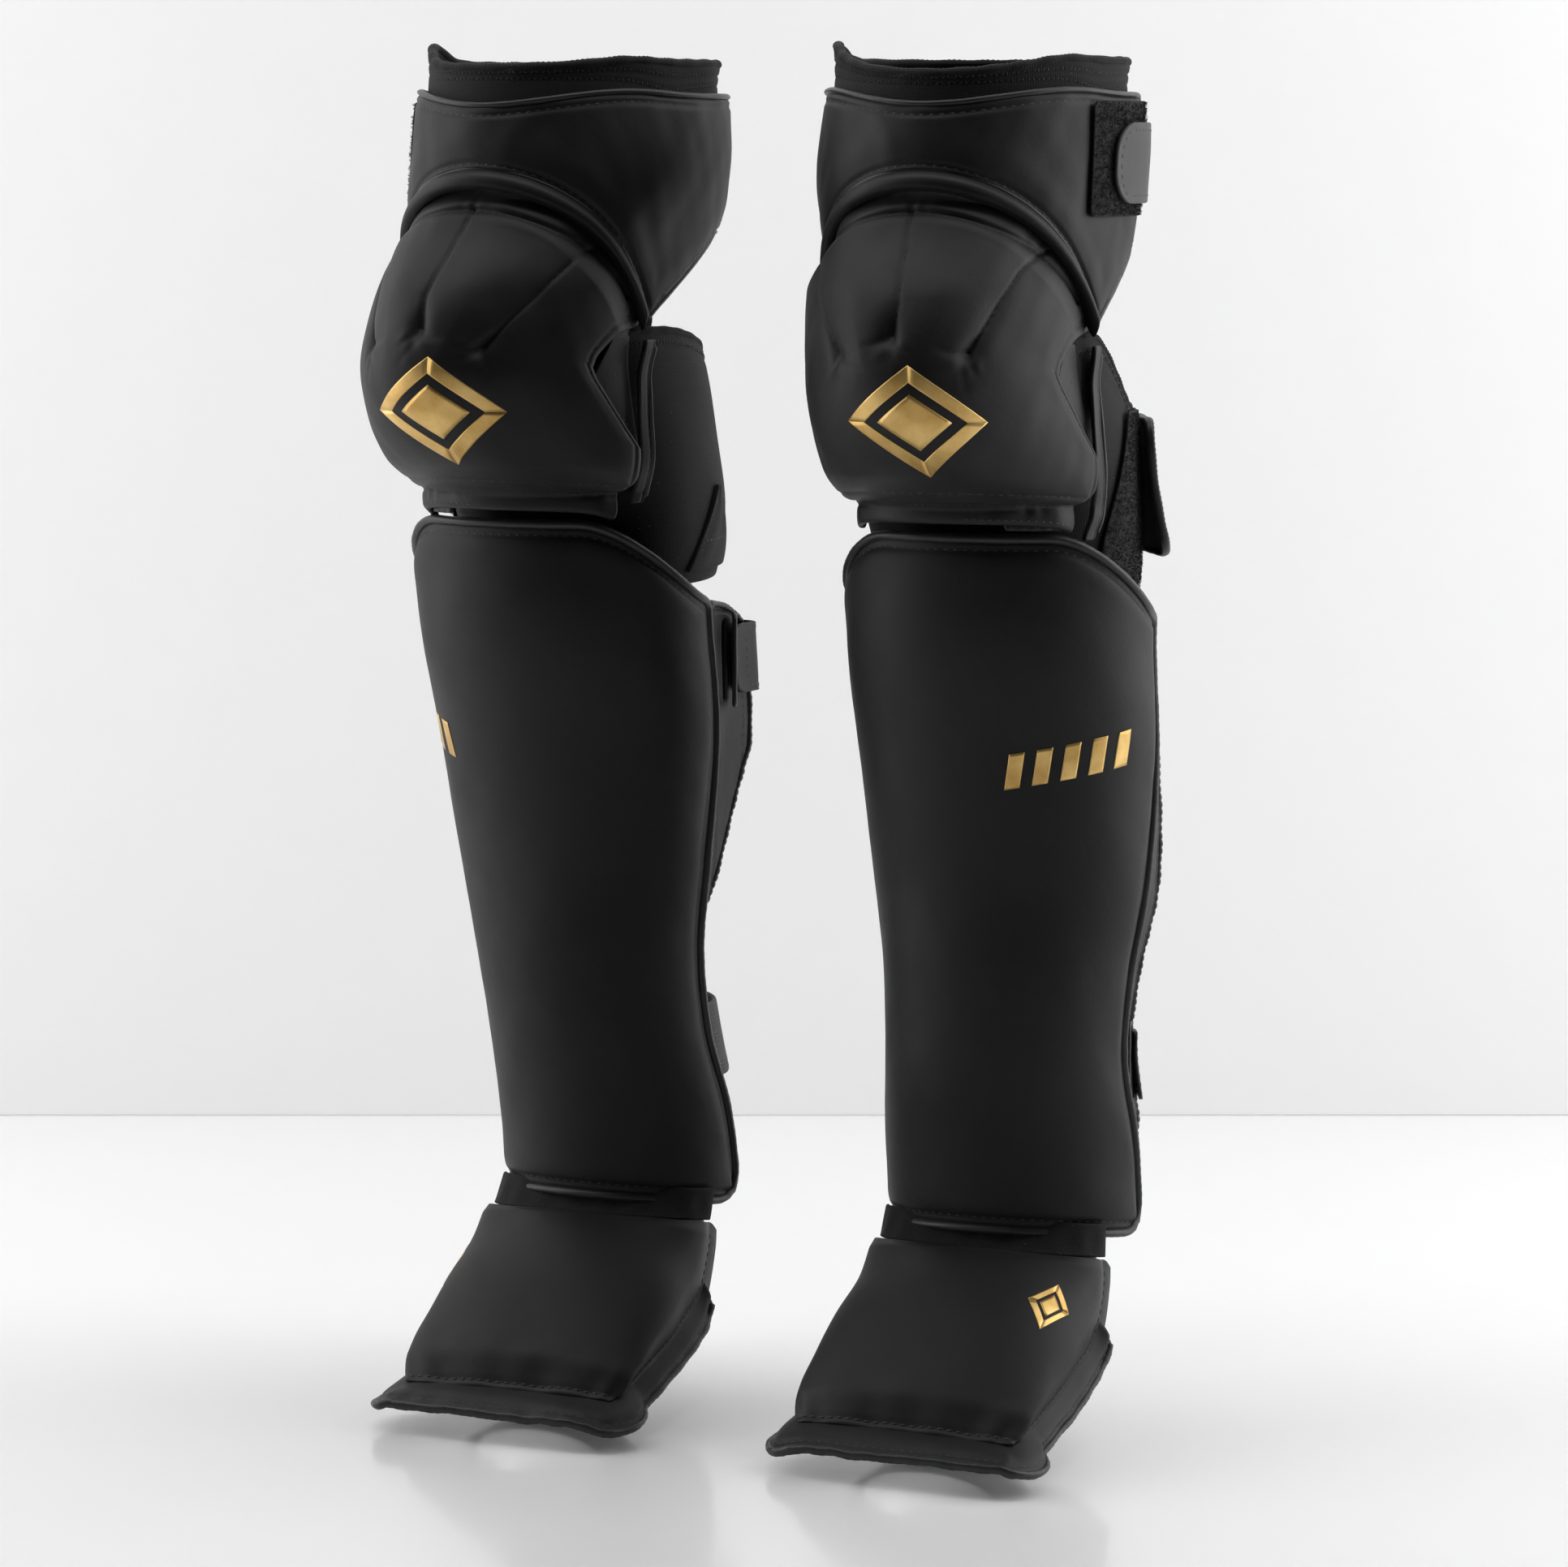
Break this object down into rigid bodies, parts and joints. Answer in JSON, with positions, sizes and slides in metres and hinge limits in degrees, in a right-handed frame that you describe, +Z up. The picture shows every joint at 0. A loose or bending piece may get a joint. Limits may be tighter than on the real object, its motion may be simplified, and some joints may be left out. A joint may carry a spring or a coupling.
{
  "type": "leg guard set",
  "caption": "Pair of padded black leg guards, each with a domed knee guard, thigh cuff, shin pad and hinged instep flap, held by straps.",
  "frame": {"origin": "on the ground, midway between the two knees", "axes": "+Z up along the legs, the wearer faces -Y, +X towards the wearer's left leg"},
  "size_m": [0.3634, 0.2582, 0.629],
  "materials": {
    "black_leather": "matte grained",
    "black_binding": "satin folded edge",
    "foam": "dense foam core",
    "lining": "woven lining",
    "neoprene": "fine knit faced neoprene",
    "loop_fabric": "fuzzy loop pile",
    "webbing": "woven elastic",
    "grey_tab": "smooth coated tab"
  },
  "bodies": {
    "right_shin": {"right_shin_cover": "black_leather", "right_shin_foam": "foam", "right_shin_lining": "lining", "right_shin_binding": "black_binding", "right_shin_wing_inner": "black_leather", "right_shin_wing_outer": "black_leather", "right_calf_strap_upper": "webbing", "right_calf_strap_lower": "webbing"},
    "right_upper_tab": {"right_calf_tab_upper": "webbing"},
    "right_lower_tab": {"right_calf_tab_lower": "webbing"},
    "right_instep": {"right_instep_cover": "black_leather", "right_instep_foam": "foam", "right_instep_flange": "black_leather", "right_ankle_flex_panel": "neoprene", "right_sole_strap": "webbing", "right_heel_strap": "webbing"},
    "right_knee": {"right_knee_cover": "black_leather", "right_knee_foam": "foam", "right_knee_skirt": "black_leather", "right_knee_strip_inner": "black_leather", "right_knee_strip_outer": "black_leather", "right_calf_sleeve": "neoprene", "right_calf_loop_patch": "loop_fabric"},
    "right_knee_flap": {"right_knee_strap": "neoprene"},
    "right_cuff": {"right_cuff_cover": "black_leather", "right_cuff_pad": "foam", "right_cuff_ridge": "black_leather", "right_thigh_sleeve": "neoprene", "right_thigh_loop_patch": "loop_fabric"},
    "right_cuff_flap": {"right_thigh_strap": "grey_tab"},
    "left_shin": {"left_shin_cover": "black_leather", "left_shin_foam": "foam", "left_shin_lining": "lining", "left_shin_binding": "black_binding", "left_shin_wing_inner": "black_leather", "left_shin_wing_outer": "black_leather", "left_calf_strap_upper": "webbing", "left_calf_strap_lower": "webbing"},
    "left_upper_tab": {"left_calf_tab_upper": "webbing"},
    "left_lower_tab": {"left_calf_tab_lower": "webbing"},
    "left_instep": {"left_instep_cover": "black_leather", "left_instep_foam": "foam", "left_instep_flange": "black_leather", "left_ankle_flex_panel": "neoprene", "left_sole_strap": "webbing", "left_heel_strap": "webbing"},
    "left_knee": {"left_knee_cover": "black_leather", "left_knee_foam": "foam", "left_knee_skirt": "black_leather", "left_knee_strip_inner": "black_leather", "left_knee_strip_outer": "black_leather", "left_calf_sleeve": "neoprene", "left_calf_loop_patch": "loop_fabric"},
    "left_knee_flap": {"left_knee_strap": "neoprene"},
    "left_cuff": {"left_cuff_cover": "black_leather", "left_cuff_pad": "foam", "left_cuff_ridge": "black_leather", "left_thigh_sleeve": "neoprene", "left_thigh_loop_patch": "loop_fabric"},
    "left_cuff_flap": {"left_thigh_strap": "grey_tab"}
  },
  "joints": [
    {"name": "leg_spacing", "type": "slide", "parent": "right_shin", "child": "left_shin", "axis": [1, 0, 0], "range_m": [0, 0.25]},
    {"name": "right_knee_guard_lift", "type": "slide", "parent": "right_shin", "child": "right_knee", "axis": [0, 0, 1], "range_m": [0, 0.2]},
    {"name": "right_ankle_fold", "type": "hinge", "parent": "right_shin", "child": "right_instep", "pos_m": [-0.10279, 0.04589, 0.088], "axis": [0.9976, -0.0698, 0], "range_deg": [-8, 14], "stiffness_Nm_per_rad": 0.6},
    {"name": "right_knee_bend", "type": "hinge", "parent": "right_knee", "child": "right_cuff", "pos_m": [-0.106, 0, 0.513], "axis": [-0.9976, 0.0698, 0], "range_deg": [-2, 35]},
    {"name": "right_thigh_strap_peel", "type": "hinge", "parent": "right_cuff", "child": "right_cuff_flap", "pos_m": [-0.04474, 0.07718, 0.587], "axis": [0, 0, -1], "range_deg": [0, 100]},
    {"name": "right_knee_strap_peel", "type": "hinge", "parent": "right_knee", "child": "right_knee_flap", "pos_m": [-0.08258, 0.12867, 0.44], "axis": [0, 0, -1], "range_deg": [0, 60]},
    {"name": "right_upper_tab_peel", "type": "hinge", "parent": "right_shin", "child": "right_upper_tab", "pos_m": [-0.04322, 0.07005, 0.352], "axis": [0, 0, -1], "range_deg": [0, 70]},
    {"name": "right_lower_tab_peel", "type": "hinge", "parent": "right_shin", "child": "right_lower_tab", "pos_m": [-0.16127, 0.07936, 0.168], "axis": [0, 0, 1], "range_deg": [0, 80]},
    {"name": "left_knee_guard_lift", "type": "slide", "parent": "left_shin", "child": "left_knee", "axis": [0, 0, 1], "range_m": [0, 0.2]},
    {"name": "left_ankle_fold", "type": "hinge", "parent": "left_shin", "child": "left_instep", "pos_m": [0.10279, 0.04589, 0.088], "axis": [0.9976, 0.0698, 0], "range_deg": [-8, 14], "stiffness_Nm_per_rad": 0.6},
    {"name": "left_knee_bend", "type": "hinge", "parent": "left_knee", "child": "left_cuff", "pos_m": [0.106, 0, 0.513], "axis": [-0.9976, -0.0698, 0], "range_deg": [-2, 35]},
    {"name": "left_thigh_strap_peel", "type": "hinge", "parent": "left_cuff", "child": "left_cuff_flap", "pos_m": [0.04474, 0.07718, 0.587], "axis": [0, 0, 1], "range_deg": [0, 100]},
    {"name": "left_knee_strap_peel", "type": "hinge", "parent": "left_knee", "child": "left_knee_flap", "pos_m": [0.08258, 0.12867, 0.44], "axis": [0, 0, 1], "range_deg": [0, 60]},
    {"name": "left_upper_tab_peel", "type": "hinge", "parent": "left_shin", "child": "left_upper_tab", "pos_m": [0.04322, 0.07005, 0.352], "axis": [0, 0, 1], "range_deg": [0, 70]},
    {"name": "left_lower_tab_peel", "type": "hinge", "parent": "left_shin", "child": "left_lower_tab", "pos_m": [0.16127, 0.07936, 0.168], "axis": [0, 0, -1], "range_deg": [0, 80]}
  ]
}
